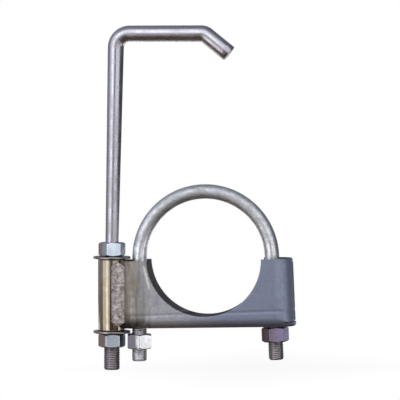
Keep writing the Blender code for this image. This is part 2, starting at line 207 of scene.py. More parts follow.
class FinishColours(bpy.types.PropertyGroup):
    """The colours of the metals."""

    sheet: colour("Sheet", (0.54, 0.55, 0.58), "Mill finish at the saddle's welded end")
    sheet_blue: colour("Sheet blue", (0.295, 0.335, 0.475), "Mill finish at its free end")
    sheet_stain: colour("Sheet stain", (0.25, 0.27, 0.34), "Stains on the saddle")
    sheet_line: colour("Sheet line", (0.42, 0.42, 0.46), "Rolling lines on the saddle")
    heat_straw: colour("Heat straw", (0.20, 0.165, 0.11), "Straw tint beside the weld")
    # Burnt metal with painted shadow, in the corner under the weld.
    scorch_and_shadow: colour("Scorch", (0.05, 0.045, 0.04), "Burnt corner under the weld")
    # Scratches from handling, and a painted highlight along the seat's left edge.
    scratches_and_edge_highlight: colour("Scraped", (0.86, 0.85, 0.86), "Scraped and scratched sheet")
    # Painted shade: a near-black colour laid over the inside of the folded sheet, where little
    # light reaches.
    inside_shade: colour("Oil", (0.09, 0.08, 0.08), "Oil and dirt inside the saddle")
    gold: colour("Gold", (0.50, 0.44, 0.32), "Yellow zinc plate")
    gold_shift: colour("Gold shift", (0.60, 0.56, 0.45), "Paler patches of the yellow zinc")
    gold_line: colour("Gold line", (0.42, 0.32, 0.20), "Drawn lines on the tube")
    gold_burnt: colour("Gold burnt", (0.25, 0.21, 0.17), "Yellow zinc burnt beside the weld")
    rod: colour("Rod", (0.56, 0.57, 0.65), "Zinc plate of the hook rod")
    rod_stain: colour("Rod stain", (0.50, 0.48, 0.53), "Darker patches on the hook rod")
    rod_dull: colour("Rod dull", (0.56, 0.53, 0.54), "Dulled zinc towards the hook")
    bolt: colour("Bolt", (0.90, 0.92, 0.96), "Zinc plate of the U-bolt")
    bolt_patch: colour("Bolt patch", (0.56, 0.58, 0.62), "Darker patches on the U-bolt")
    bolt_dull: colour("Bolt dull", (0.44, 0.46, 0.48), "Dulled zinc over the U-bolt's top")
    bar_line: colour("Bar line", (0.88, 0.89, 0.92), "Drawn lines on the rod and the U-bolt")
    bar_scratch: colour("Bar scratch", (0.22, 0.20, 0.20), "Scratches on the rod and the U-bolt")
    tail: colour("Tail", (0.30, 0.28, 0.29), "Dirt on the threads under the nuts")
    bright_nut: colour("Bright nut", (0.76, 0.88, 1.0), "Clear zinc plate of the rod's nuts")
    # Painted shade: the brown, darker left faces of the rod's nuts and the washers' left tips.
    nut_left_shade: colour("Nut stain", (0.58, 0.48, 0.41), "Brown stain on the rod's nuts")
    left_nut: colour("Left nut", (0.94, 0.95, 0.97), "Clear zinc plate of the left U-bolt nut")
    # Painted shade: the darker left half of the left U-bolt nut.
    left_nut_shade: colour("Nut scuff", (0.21, 0.20, 0.23), "Grey scuffs on the left U-bolt nut")
    dull_nut: colour("Dull nut", (0.42, 0.39, 0.62), "Dulled zinc plate of the right nut")
    # Painted shade: the reddish-brown, darker left side of the right nut.
    right_nut_shade: colour("Nut dirt", (0.18, 0.125, 0.115), "Dirt on the right nut")
    nut_scratch: colour("Nut scratch", (0.22, 0.19, 0.19), "Scratches on nuts and washers")
    washer: colour("Washer", (0.30, 0.29, 0.30), "Dulled yellow zinc of the washers")
    weld: colour("Weld", (0.58, 0.53, 0.52), "Weld metal")
    weld_scale: colour("Weld scale", (0.30, 0.27, 0.26), "Thin scale on the weld")
    weld_pit: colour("Weld pit", (0.06, 0.05, 0.05), "Deep pits in the weld")
    weld_spot: colour("Weld spot", (0.66, 0.58, 0.56), "Bright spots on the weld")


class StudioSizes(bpy.types.PropertyGroup):
    """The camera and the light."""

    distance: length("Distance", 1.500, "Distance from the camera to the part")
    azimuth: angle("Azimuth", 6.2, "How far the camera stands to the right")
    pitch: angle("Pitch", 2.0, "How far the camera looks down")
    roll: angle("Roll", 1.17, "How far the camera is rolled")
    aim_x: FloatProperty(
        name="Aim X", description="Where the camera aims, across", default=-0.00264, unit="LENGTH"
    )
    aim_z: length("Aim Z", 0.0345, "Where the camera aims, up")
    lens: FloatProperty(
        name="Lens", description="Focal length in millimetres", default=227.6, min=1.0
    )
    floor_drop: length("Floor drop", 0.03, "How far the floor lies under the part")
    left_light: level("Left light", 0.65, "Brightness of the wide light at the left")
    left_core: level("Left core", 0.85, "Brightness of the narrow light within the left one")
    front_light: level("Front light", 1.15, "Brightness of the raised light at the front")
    right_light: level("Right light", 0.85, "Brightness of the wide light at the right")
    low_light: level("Low light", 1.4, "Brightness of the low light at the far right")
    room_low: colour("Room below", (0.105, 0.068, 0.045), "The room under the part's level")
    room_high: colour("Room above", (0.27, 0.28, 0.33), "The room above the part's level")


def clamp_sizes():
    return bpy.context.scene.hanger_clamp


def tube_sizes():
    return bpy.context.scene.hanger_tube


def hardware_sizes():
    return bpy.context.scene.hanger_hardware


def rod_sizes():
    return bpy.context.scene.hanger_rod


def finishes():
    return bpy.context.scene.hanger_finishes


def studio_sizes():
    return bpy.context.scene.hanger_studio


def leg_to_tube():
    """How far the tube's axis is from the left leg's."""
    return 2 * hardware_sizes().corner_radius + hardware_sizes().nut_swing


def end_reach():
    """How far the saddle's end is from the leg's axis."""
    return leg_to_tube() - tube_sizes().diameter / 2 + tube_sizes().nestle


def tube_length():
    return tube_sizes().rise - clamp_sizes().base_z + tube_sizes().drop


# Node trees -----------------------------------------------------------------------------


FLOAT, VECTOR, GEOMETRY = "NodeSocketFloat", "NodeSocketVector", "NodeSocketGeometry"


class Nodes:
    """A node tree, with short ways to add what the hanger's trees are made of."""

    def __init__(self, tree):
        self.tree = tree

    def feed(self, sockets, values):
        """Gives each named or numbered socket a value, or the socket that feeds it."""
        for key, value in values.items():
            if isinstance(value, bpy.types.NodeSocket):
                self.tree.links.new(value, sockets[key])
            else:
                sockets[key].default_value = value

    def add(self, kind, inputs=None, **settings):
        """The outputs of one new node."""
        made = self.tree.nodes.new(kind)
        for name, value in settings.items():
            setattr(made, name, value)
        self.feed(made.inputs, inputs or {})
        return made.outputs

    def math(self, operation, *values):
        return self.add("ShaderNodeMath", dict(enumerate(values)), operation=operation)[0]

    def times(self, first, second):
        return self.math("MULTIPLY", first, second)

    def plus(self, first, second):
        return self.math("ADD", first, second)

    def minus(self, first, second):
        return self.math("SUBTRACT", first, second)

    def most(self, first, second):
        return self.math("MAXIMUM", first, second)

    def size(self, value):
        return self.math("ABSOLUTE", value)

    def fade(self, value, low, high, to_low=0.0, to_high=1.0):
        """Value taken from low..high to to_low..to_high, without overshoot."""
        spans = {"From Min": low, "From Max": high, "To Min": to_low, "To Max": to_high}
        return self.add("ShaderNodeMapRange", {"Value": value, **spans})["Result"]

    def vector(self, operation, *values, **inputs):
        inputs = {**dict(enumerate(values)), **inputs}
        return self.add("ShaderNodeVectorMath", inputs, operation=operation)[0]

    def joined(self, *values):
        """A vector of an X, a Y and a Z."""
        return self.add("ShaderNodeCombineXYZ", dict(enumerate(values)))[0]

    def parts(self, vector):
        """The X, Y and Z of a vector."""
        return self.add("ShaderNodeSeparateXYZ", {0: vector})

    def mix(self, mask, under, over):
        """Two colours mixed by a mask."""
        under, over = (
            end if isinstance(end, bpy.types.NodeSocket) else (*end, 1.0) for end in (under, over)
        )
        return self.add("ShaderNodeMix", {0: mask, 6: under, 7: over}, data_type="RGBA")[2]

    def lay(self, under, over, mask, share):
        """A colour laid over another where the mask shows, and covering it by that share."""
        return self.mix(self.times(mask, share), under, over)

    def clouds(self, place, scale, detail, seed=None, **inputs):
        """A noise pattern; each seed gives another."""
        inputs.update(Vector=place, Scale=scale, Detail=detail)
        if seed is None:
            return self.add("ShaderNodeTexNoise", inputs)[0]
        return self.add("ShaderNodeTexNoise", {"W": seed, **inputs}, noise_dimensions="4D")[0]

    def bump(self, strength, distance, *heights):
        """A bump from several (height, weight) pairs."""
        total = self.times(*heights[0])
        for height, weight in heights[1:]:
            total = self.plus(total, self.times(height, weight))
        inputs = {"Height": total, "Strength": strength, "Distance": distance}
        return self.add("ShaderNodeBump", inputs)[0]

    def effect(self, name, place, **values):
        """One of the shared effects, with this material's own values."""
        group = bpy.data.node_groups.get(name) or EFFECTS[name]()
        return self.add("ShaderNodeGroup", {"Vector": place, **values}, node_tree=group)


def new_tree(name, kind, inputs, outputs):
    """An empty group, with (name, type, default) inputs and (name, type) outputs."""
    tree = bpy.data.node_groups.new(name, kind)
    for label, socket_type, *default in inputs:
        socket = tree.interface.new_socket(label, in_out="INPUT", socket_type=socket_type)
        if default:
            socket.default_value = default[0]
    for label, socket_type in outputs:
        tree.interface.new_socket(label, in_out="OUTPUT", socket_type=socket_type)
    given, results = tree.nodes.new("NodeGroupInput"), tree.nodes.new("NodeGroupOutput")
    return Nodes(tree), given.outputs, results.inputs


def new_effect(name, outputs, **values):
    """An empty shader group that takes a Vector and the named values."""
    inputs = [("Vector", VECTOR), *((label, FLOAT, value) for label, value in values.items())]
    return new_tree(name, "ShaderNodeTree", inputs, [(label, FLOAT) for label in outputs])


def drawn_streaks():
    """Fine lines along the bar or along the sheet's rolling direction."""
    nodes, given, results = new_effect(
        "Drawn streaks", ("Mask", "Height"), Fineness=900.0, Length=60.0, Seed=0.0
    )
    stretch = nodes.joined(given["Fineness"], given["Fineness"], given["Length"])
    place = nodes.vector("MULTIPLY", given["Vector"], stretch)
    lines = nodes.clouds(place, 1.0, 3.0, given["Seed"], Roughness=0.6)
    nodes.feed(results, {"Mask": nodes.fade(lines, 0.38, 0.62), "Height": lines})
    return nodes.tree


def zinc_mottle():
    """The patches of crystals and dull spots in zinc plate."""
    nodes, given, results = new_effect(
        "Zinc mottle", ("Patches", "Spots", "Height"), Scale=420.0, Seed=0.0
    )
    place, scale = given["Vector"], given["Scale"]
    soft = nodes.clouds(place, scale, 5.0, given["Seed"], Roughness=0.62, Distortion=0.4)
    crystals = {"Vector": place, "Scale": nodes.times(scale, 2.6)}
    cells = nodes.add("ShaderNodeTexVoronoi", crystals)["Color"]
    shade = nodes.add("ShaderNodeSeparateColor", {0: cells})[0]
    both = nodes.plus(nodes.times(soft, 0.75), nodes.times(shade, 0.25))
    patches, spots = nodes.fade(both, 0.39, 0.61), nodes.fade(soft, 0.62, 0.72)
    nodes.feed(results, {"Patches": patches, "Spots": spots, "Height": both})
    return nodes.tree


def handling_marks():
    """Fine scratches from handling, two ways across."""
    nodes, given, results = new_effect(
        "Handling marks", ("Mask", "Height"), Scale=160.0, Amount=0.5
    )
    place, ways = given["Vector"], []
    for turn in (0.6, -0.5):
        laid = {"Vector": place, "Rotation": (0.0, turn, turn), "Scale": (0.25, 7.0, 7.0)}
        laid = nodes.add("ShaderNodeMapping", laid)[0]
        ways.append(nodes.fade(nodes.clouds(laid, given["Scale"], 1.5), 0.64, 0.72))
    edge = nodes.minus(0.72, nodes.times(given["Amount"], 0.3))
    near = nodes.fade(nodes.clouds(place, 85.0, 4.0), edge, nodes.plus(edge, 0.06))
    shown = nodes.times(nodes.most(*ways), near)
    nodes.feed(results, {"Mask": shown, "Height": nodes.times(shown, -1.0)})
    return nodes.tree


def heat_tint():
    """The straw and brown tint that welding leaves on the metal beside the bead, and a near-black
    burn at the foot by the seam that is also painted shadow in the corner under the weld.
    """
    nodes, given, results = new_effect(
        "Heat tint", ("Mask", "Burn and shadow"), Seam=-0.05, Reach=0.01, Foot=-0.05
    )
    x, _, z = nodes.parts(given["Vector"])
    bands = nodes.clouds(nodes.vector("MULTIPLY", given["Vector"], (1.0, 1.0, 0.12)), 330.0, 4.0)
    away = nodes.math("DIVIDE", nodes.minus(x, given["Seam"]), given["Reach"])
    ragged = nodes.plus(away, nodes.times(bands, 1.5))
    low = nodes.fade(z, nodes.plus(given["Foot"], 0.011), nodes.plus(given["Foot"], 0.004))
    # Burnt metal and painted shadow: darkest low down beside the seam, in the corner under the
    # weld.
    burn_and_shadow = nodes.times(low, nodes.fade(ragged, 1.0, 1.6, 1.0, 0.0))
    nodes.feed(results, {"Mask": nodes.fade(ragged, 0.9, 1.75, 1.0, 0.0), "Burn and shadow": burn_and_shadow})
    return nodes.tree


EFFECTS = {
    "Drawn streaks": drawn_streaks,
    "Zinc mottle": zinc_mottle,
    "Handling marks": handling_marks,
    "Heat tint": heat_tint,
}


# Finishes -------------------------------------------------------------------------------


class Metal(Nodes):
    """A material with one metal shader, and the Object coordinates that it reads."""

    def __init__(self, name, metallic=1.0):
        self.material = bpy.data.materials.new(name)
        self.material.use_nodes = True
        super().__init__(self.material.node_tree)
        self.shader = self.tree.nodes["Principled BSDF"].inputs
        self.shader["Metallic"].default_value = metallic
        self.place = self.add("ShaderNodeTexCoord")["Object"]

    def finished(self, base_colour, roughness, normal):
        """The material, with its shader fed."""
        values = {"Base Color": base_colour, "Roughness": roughness, "Normal": normal}
        self.feed(self.shader, values)
        return self.material


def inside_share(metal, x, y, z):
    """How far a point lies inside the folded sheet, where the painted shade goes."""
    clamp = clamp_sizes()
    wall, outer, inner = clamp.width / 2, 0.3 * clamp.sheet, 0.9 * clamp.sheet
    middle = clamp.leg_x(0) + end_reach() - wall
    centre = metal.math("MULTIPLY_ADD", z, -math.tan(clamp.end_lean), middle)
    past = metal.most(metal.minus(metal.size(x), centre), 0.0)
    out = metal.math("SQRT", metal.plus(metal.times(past, past), metal.times(y, y)))
    within = metal.fade(out, wall - outer, wall - inner)
    return metal.times(within, metal.fade(z, clamp.base_z + outer, clamp.base_z + inner))


def scrape_and_edge_highlight(metal, x, y, z):
    """The pale scrape on the front wall beside the seat's left edge; it hugs that edge, so it is
    also a painted highlight of the lit cut edge.
    """
    slant, middle, wobble = -0.235, -0.0364, 0.0009
    off = metal.size(metal.minus(x, metal.math("MULTIPLY_ADD", z, slant, middle)))
    ragged = metal.math("MULTIPLY_ADD", metal.clouds(metal.place, 900.0, 3.0), wobble, off)
    ends = metal.times(metal.fade(z, -0.0178, -0.0160), metal.fade(z, -0.0025, -0.0050))
    near = metal.times(metal.fade(ragged, 0.0009, 0.0015, 1.0, 0.0), ends)
    return metal.times(near, metal.fade(y, -0.0115, -0.0125))


def mill_sheet():
    """Pressed sheet: faint rolling lines, stains, scratches and a heat tint beside the weld, with
    painted shade inside the fold and in the corner under the weld, and a painted highlight along
    the seat's left edge.
    """
    colours, clamp = finishes(), clamp_sizes()
    metal = Metal("mill_sheet", metallic=0.7)
    x, y, z = metal.parts(metal.place)
    rolled = {"Vector": metal.place, "Rotation": (0, math.radians(90), 0)}
    rolled = metal.add("ShaderNodeMapping", rolled)[0]
    streaks = metal.effect("Drawn streaks", rolled, Fineness=1300.0, Length=45.0)
    mottle = metal.effect("Zinc mottle", metal.place, Scale=230.0, Seed=2.0)
    marks = metal.effect("Handling marks", metal.place, Scale=260.0, Amount=0.25)
    seam = -(clamp.leg_x(clamp.base_z) + end_reach() - tube_sizes().nestle)
    heat = metal.effect("Heat tint", metal.place, Seam=seam, Reach=0.019, Foot=clamp.base_z)
    mill = metal.mix(metal.fade(x, -0.022, 0.012), colours.sheet, colours.sheet_blue)
    stain_and_shade = metal.mix(0.45, mill, colours.sheet_stain)
    shown = metal.mix(mottle["Patches"], stain_and_shade, mill)
    # Handling scratches, and the scrape that also serves as a painted highlight on the seat's left
    # edge.
    scratches_and_edge_highlight = metal.most(marks["Mask"], scrape_and_edge_highlight(metal, x, y, z))
    for colour, mask, share in (
        (colours.sheet_line, streaks["Mask"], 0.15),
        (colours.heat_straw, heat["Mask"], 0.85),
        # Burn and painted shadow in the corner under the weld.
        (colours.scorch_and_shadow, heat["Burn and shadow"], 0.9),
        (colours.scratches_and_edge_highlight, scratches_and_edge_highlight, 0.85),
        # Painted shade inside the folded sheet.
        (colours.inside_shade, inside_share(metal, x, y, z), 0.8),
    ):
        shown = metal.lay(shown, colour, mask, share)
    rough = metal.fade(mottle["Patches"], 0.0, 1.0, 0.50, 0.38)
    heights = (streaks["Height"], 0.1), (mottle["Height"], 0.7), (marks["Height"], 0.2)
    return metal.finished(shown, rough, metal.bump(0.35, 0.0004, *heights))


def tube_zinc():
    """Yellow zinc plate, a little iridescent, burnt beside the weld."""
    colours, clamp, tube = finishes(), clamp_sizes(), tube_sizes()
    metal = Metal("tube_zinc")
    mottle = metal.effect("Zinc mottle", metal.place, Scale=110.0, Seed=5.0)
    streaks = metal.effect("Drawn streaks", metal.place, Fineness=800.0, Length=30.0, Seed=3.0)
    toe = tube.diameter / 2 * math.cos(tube.weld_on_tube)
    toe = -clamp.leg_x(-0.02) - leg_to_tube() + toe
    heat = metal.effect("Heat tint", metal.place, Seam=toe, Reach=-0.0030, Foot=clamp.base_z)
    shown = metal.mix(mottle["Patches"], colours.gold, colours.gold_shift)
    shown = metal.lay(shown, colours.gold_line, streaks["Mask"], 0.3)
    shown = metal.lay(shown, colours.gold_burnt, heat["Mask"], 0.6)
    rough = metal.fade(streaks["Mask"], 0.0, 1.0, 0.10, 0.17)
    heights = (streaks["Height"], 0.8), (mottle["Height"], 0.4)
    return metal.finished(shown, rough, metal.bump(0.08, 0.0002, *heights))


def bead_metal():
    """Rough bead with scale in its pits."""
    colours = finishes()
    metal = Metal("bead_metal", metallic=0.75)
    mottle = metal.effect("Zinc mottle", metal.place, Scale=380.0, Seed=7.0)
    pits = metal.clouds(metal.place, 420.0, 3.0, Roughness=0.6)
    pitted = metal.fade(pits, 0.36, 0.64)
    shown = metal.mix(pitted, colours.weld_scale, colours.weld)
    shown = metal.mix(metal.fade(pits, 0.33, 0.28), shown, colours.weld_pit)
    shown = metal.mix(mottle["Spots"], shown, colours.weld_spot)
    rough = metal.fade(pitted, 0.0, 1.0, 0.75, 0.52)
    heights = (pits, 1.0), (mottle["Height"], 0.5)
    return metal.finished(shown, rough, metal.bump(0.25, 0.0004, *heights))


def bar_zinc(name, base, patch, dulled, dull_from, dull_to, mottle_scale, seed, line_share,
             line_slant, dirt_from, rough, relief):
    """Plated bar: mottled zinc with drawn lines that follow the bar at a slant.

    It is duller with height, and dirty at the thread ends that lie right of dirt_from.
    """
    colours = finishes()
    metal = Metal(name)
    x, _, z = metal.parts(metal.place)
    along = metal.add("ShaderNodeAttribute", attribute_name="straight")["Vector"]
    run = metal.times(metal.parts(along)[2], line_slant)
    slanted = metal.vector("ADD", along, metal.joined(run, run))
    mottle = metal.effect("Zinc mottle", metal.place, Scale=mottle_scale, Seed=seed)
    streaks = metal.effect("Drawn streaks", slanted, Fineness=520.0, Length=45.0, Seed=seed)
    marks = metal.effect("Handling marks", along, Scale=260.0, Amount=0.6)
    dull = metal.fade(z, dull_from, dull_to)
    nut_foot = clamp_sizes().base_z - hardware_sizes().bolt_nut_height
    dirty = metal.fade(z, nut_foot + 0.002, nut_foot - 0.002)
    dirty = metal.times(dirty, metal.fade(x, dirt_from, dirt_from + 0.001))
    shown = metal.mix(mottle["Patches"], patch, base)
    for colour, mask, share in (
        (dulled, dull, 0.8),
        (colours.bar_line, streaks["Mask"], line_share),
        (colours.tail, dirty, 0.8),
        (colours.bar_scratch, marks["Mask"], 0.5),
    ):
        shown = metal.lay(shown, colour, mask, share)
    smooth = metal.fade(mottle["Patches"], 0.0, 1.0, rough + 0.12, rough)
    rougher = metal.math("MULTIPLY_ADD", dull, 0.2, smooth)
    heights = (mottle["Height"], 0.6), (streaks["Height"], 0.4), (marks["Height"], 0.3)
    return metal.finished(shown, rougher, metal.bump(relief, 0.0003, *heights))


def nut_zinc(name, base, left_shade, shade_full_at, shade_faint_at, rough, seed):
    """Plated nut or washer, with painted shade in a darker, browner colour on its left side,
    fading out from one distance across to another.
    """
    metal = Metal(name)
    mottle = metal.effect("Zinc mottle", metal.place, Scale=120.0, Seed=seed)
    marks = metal.effect("Handling marks", metal.place, Scale=320.0, Amount=0.5)
    waver = 0.0016
    across = metal.parts(metal.place)[0]
    across = metal.math("MULTIPLY_ADD", mottle["Patches"], waver, across)
    # Painted shade on the left side, with a ragged edge from the mottle.
    stain_and_shade = metal.fade(across, shade_full_at + waver / 2, shade_faint_at + waver / 2, 1.0, 0.1)
    shown = metal.mix(stain_and_shade, base, left_shade)
    shown = metal.lay(shown, finishes().nut_scratch, marks["Mask"], 0.4)
    rougher = metal.fade(mottle["Patches"], 0.0, 1.0, rough, rough + 0.12)
    heights = (mottle["Height"], 0.6), (marks["Height"], 0.4)
    return metal.finished(shown, rougher, metal.bump(0.08, 0.0002, *heights))


def nut_finish(name):
    """The finish of the nuts or washers of that name, made when the first of them asks for it."""
    colours = finishes()
    leg_x = clamp_sizes().leg_x(-0.05)
    rod_x = -leg_x - leg_to_tube()
    rows = {
        "washer_zinc":
            (colours.washer, colours.nut_left_shade, rod_x - 0.010, rod_x - 0.006, 0.30, 8.0),
        "rod_nut_zinc":
            (colours.bright_nut, colours.nut_left_shade, rod_x - 0.004, rod_x - 0.002, 0.18, 3.0),
        "left_nut_zinc":
            (colours.left_nut, colours.left_nut_shade, -leg_x - 0.001, -leg_x + 0.0005, 0.22, 5.0),
        "right_nut_zinc":
            (colours.dull_nut, colours.right_nut_shade, leg_x - 0.008, leg_x + 0.007, 0.24, 6.0),
    }
    return bpy.data.materials.get(name) or nut_zinc(name, *rows[name])


# Mesh helpers ---------------------------------------------------------------------------


def new_object(name, data):
    """An object at the origin, in the scene."""
    made = bpy.data.objects.new(name, data)
    bpy.context.scene.collection.objects.link(made)
    return made


def leaning(x, lean):
    """The frame of an axis that leans sideways through (x, 0, 0)."""
    return Matrix.Translation((x, 0, 0)) @ Matrix.Rotation(lean, 4, "Y")


def leg_frame(end):
    return leaning(end * clamp_sizes().leg_x(0), -end * clamp_sizes().end_lean)


def tube_frame():
    lean = clamp_sizes().end_lean
    return leaning(-clamp_sizes().leg_x(0) - leg_to_tube() / math.cos(lean), lean)


def polar(radius, turn, z):
    return Vector((radius * math.cos(turn), radius * math.sin(turn), z))


def add_ring(bm, points):
    return [bm.verts.new(point) for point in points]


def bridge(bm, *rings, capped=False):
    """Faces between each ring and the next, and over the two end rings."""
    for first, second in zip(rings, rings[1:]):
        for i in range(len(first)):
            after = (i + 1) % len(first)
            bm.faces.new((first[i], first[after], second[after], second[i]))
    if capped:
        bm.faces.new(rings[0])
        bm.faces.new(rings[-1])


def turned(profile, count, hollow=False):
    """A body turned about Z from (radius, z) points; a hollow one closes on itself."""
    bm = bmesh.new()
    turns = [math.tau * i / count for i in range(count)]
    rings = [add_ring(bm, [polar(radius, turn, z) for turn in turns]) for radius, z in profile]
    if hollow:
        rings.append(rings[0])
    bridge(bm, *rings, capped=not hollow)
    return bm


def rounded(corners, radius, count):
    """A closed (radius, z) outline with each corner rounded."""
    outline = []
    for before, corner, after in zip(
        corners[-1:] + corners[:-1], corners, corners[1:] + corners[:1]
    ):
        corner = Vector(corner)
        back, on = Vector(before) - corner, Vector(after) - corner
        half = back.angle(on) / 2
        run = radius / math.tan(half)
        back, on = back.normalized(), on.normalized()
        centre = corner + (back + on).normalized() * radius / math.sin(half)
        start, end = corner + back * run - centre, corner + on * run - centre
        for i in range(count + 1):
            outline.append(tuple(centre + start.slerp(end, i / count).normalized() * radius))
    return outline


def as_mesh(bm, smooth_to=35.0):
    """A mesh whose faces point outwards and whose round sides are smooth."""
    bmesh.ops.recalc_face_normals(bm, faces=bm.faces)
    mesh = bpy.data.meshes.new("mesh")
    bm.to_mesh(mesh)
    bm.free()
    mesh.shade_smooth()
    mesh.set_sharp_from_angle(angle=math.radians(smooth_to))
    return mesh


def placed(bm, matrix):
    bmesh.ops.transform(bm, matrix=matrix, verts=bm.verts)
    return as_mesh(bm)


def plain_mesh(holder, *helpers):
    """The holder's mesh with its modifiers applied; the holder and its helpers are removed."""
    evaluated = holder.evaluated_get(bpy.context.evaluated_depsgraph_get())
    mesh = bpy.data.meshes.new_from_object(evaluated)
    for used in (holder, *helpers):
        bpy.data.objects.remove(used, do_unlink=True)
    return mesh


def worked(mesh, *modifiers, cutters=()):
    """The mesh with the cutters taken out of it and (type, settings) modifiers applied."""
    holder = new_object("holder", mesh)
    helpers = [new_object("cutter", cutter) for cutter in cutters]
    cuts = [("BOOLEAN", {"operation": "DIFFERENCE", "object": helper}) for helper in helpers]
    for kind, settings in (*cuts, *modifiers):
        modifier = holder.modifiers.new(kind.lower(), kind)
        for key, value in settings.items():
            setattr(modifier, key, value)
    return plain_mesh(holder, *helpers)


def bevel(width, sharper_than):
    """A two-step bevel on the edges that are sharper than an angle in degrees."""
    limit = {"limit_method": "ANGLE", "angle_limit": math.radians(sharper_than)}
    return "BEVEL", {"width": width, "segments": 2, **limit}


WEIGHTED = "WEIGHTED_NORMAL", {"keep_sharp": True}


def add_piece(name, mesh, material, body, node):
    """One finished piece of the scene: it rides on a body and stands for a CAD node."""
    mesh.name = name
    mesh.materials.clear()
    mesh.materials.append(material)
    piece = new_object(name, mesh)
    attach(piece, body)
    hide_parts(node)


# Saddle ---------------------------------------------------------------------------------


WRAP_STEPS = 32
FOLD_STEPS = 12
CREASE_STEPS = 10
ROLL_STEPS = 6
SEAT_STEPS = 192
HOLE_STEPS = 64
SCALLOP_STEPS = 128
LEAST_BEND = 0.0003


def saddle_ring(bm, inset_at, height_at):
    """A ring round the saddle; inset and height depend on the end and the place on its arc."""
    clamp, reach = clamp_sizes(), end_reach()
    half_width = clamp.width / 2
    points = []
    for end in (1, -1):
        for i in range(WRAP_STEPS + 1):
            along = math.pi * (i / WRAP_STEPS - 0.5)
            z = height_at(end, along)
            radius = half_width - inset_at(end, along)
            centre = clamp.leg_x(z) + reach - half_width
            x = end * (centre + radius * math.cos(along))
            points.append((x, end * radius * math.sin(along), z))
    return add_ring(bm, points)


def saddle_skin(bm, inset):
    """One face of the sheet, from the rim down the wall to the base; returns its rim."""
    clamp = clamp_sizes()

    def fold(along):
        outer = clamp.end_bend + (clamp.side_bend - clamp.end_bend) * math.sin(along) ** 2
        return max(outer - inset, LEAST_BEND)

    def crease_height(end, share):
        middle = clamp.crease_right if end > 0 else clamp.crease_left
        return clamp.base_z + middle + share * clamp.crease_width / 2

    rings = [saddle_ring(bm, lambda end, along: inset, lambda end, along: -clamp.rim_drop)]
    for i in range(CREASE_STEPS + 1):
        share = 1 - 2 * i / CREASE_STEPS
        dent = clamp.crease_depth * (1 - share * share) ** 2
        rings.append(saddle_ring(
            bm,
            lambda end, along: inset + dent,
            lambda end, along: crease_height(end, share),
        ))
    for i in range(FOLD_STEPS + 1):
        turn = math.pi / 2 * i / FOLD_STEPS
        rings.append(saddle_ring(
            bm,
            lambda end, along: inset + fold(along) * (1 - math.cos(turn)),
            lambda end, along: clamp.base_z + inset + fold(along) * (1 - math.sin(turn)),
        ))
    bridge(bm, *rings)
    bm.faces.new(rings[-1])
    return rings[0]


def prism(outline, thickness, axis):
    bm = bmesh.new()
    far = [Vector(point) + Vector(axis) * thickness for point in outline]
    bridge(bm, add_ring(bm, outline), add_ring(bm, far), capped=True)
    return as_mesh(bm)


def seat_cut():
    """The bore that leaves the pipe seat, flared at both faces like a blanked edge."""
    clamp = clamp_sizes()
    roll = clamp.rolled_edge
    flat = clamp.width / 2 - roll
    profile = []
    for i in range(ROLL_STEPS + 1):
        turn = math.pi / 2 * i / ROLL_STEPS
        flare = roll * (1 - math.cos(turn))
        profile.append((clamp.seat_radius + flare, flat + roll * math.sin(turn)))
    profile.append((clamp.seat_radius + roll, 2 * clamp.width))
    bm = turned([(radius, -y) for radius, y in reversed(profile)] + profile, SEAT_STEPS)
    along_pipe = Matrix.Rotation(math.radians(-90), 4, "X")
    return placed(bm, Matrix.Translation((0, 0, -clamp.seat_drop)) @ along_pipe)


def tip_gap_cut(end):
    """The gap between the two wrapped ends, with their upper corners rounded off."""
    clamp = clamp_sizes()
    gap, bend = clamp.tip_gap / 2, clamp.tip_round
    x = end * (clamp.leg_x(0) + end_reach() - clamp.width / 2)
    right = [(x, gap, clamp.base_z + clamp.sheet)]
    for i in range(FOLD_STEPS + 1):
        turn = math.pi / 2 * i / FOLD_STEPS
        y = gap + bend * (1 - math.cos(turn))
        right.append((x, y, -clamp.rim_drop - bend * (1 - math.sin(turn))))
    right.append((x, gap + bend, clamp.sheet))
    left = [(x, -y, z) for _, y, z in reversed(right)]
    return prism(right + left, clamp.width, (end, 0, 0))


def slit_cut(end):
    """The thin slit that parts a wrapped end from the base's tongue."""
    clamp = clamp_sizes()
    low = clamp.base_z + clamp.sheet
    x = end * (clamp.leg_x(low) + clamp.slit_reach)
    corners = ((-1, 0), (1, 0), (1, 1), (-1, 1))
    outline = [(x, y * clamp.width, low + z * clamp.slit) for y, z in corners]
    return prism(outline, clamp.width, (end, 0, 0))


class HANGER_OT_saddle(bpy.types.Operator):
    """Folds the saddle from one sheet and cuts its seat, holes and slits"""

    bl_idname = "hanger.saddle"
    bl_label = "Saddle"

    def execute(self, context):
        clamp, tube = clamp_sizes(), tube_sizes()
        bm = bmesh.new()
        bridge(bm, saddle_skin(bm, 0.0), saddle_skin(bm, clamp.sheet))
        cutters = [seat_cut()]
        hole = clamp.thread_diameter / 2 + clamp.hole_clearance
        low, high = clamp.base_z - clamp.sheet, clamp.base_z + 2 * clamp.sheet
        for end in (-1, 1):
            drill = turned([(hole, low), (hole, high)], HOLE_STEPS)
            cutters += [tip_gap_cut(end), slit_cut(end), placed(drill, leg_frame(end))]
        scallop = tube.diameter / 2 + hardware_sizes().seated_gap
        deep = 2 * tube_length()
        drill = turned([(scallop, -deep), (scallop, deep)], SCALLOP_STEPS)
        cutters.append(placed(drill, tube_frame()))
        edge = bevel(clamp.broken_edge, sharper_than=40)
        mesh = worked(as_mesh(bm), edge, cutters=cutters)
        mesh.set_sharp_from_angle(angle=math.radians(22))
        mesh = worked(mesh, WEIGHTED)
        add_piece("saddle_sheet", mesh, mill_sheet(), "saddle", "saddle")
        return {"FINISHED"}


# Bars and threads -----------------------------------------------------------------------


BAR_SIDES = 40
STEPS_PER_THREAD = 8
ARC_STEPS = 96
BEND_STEPS = 28
STRAIGHT_STEP = 0.004


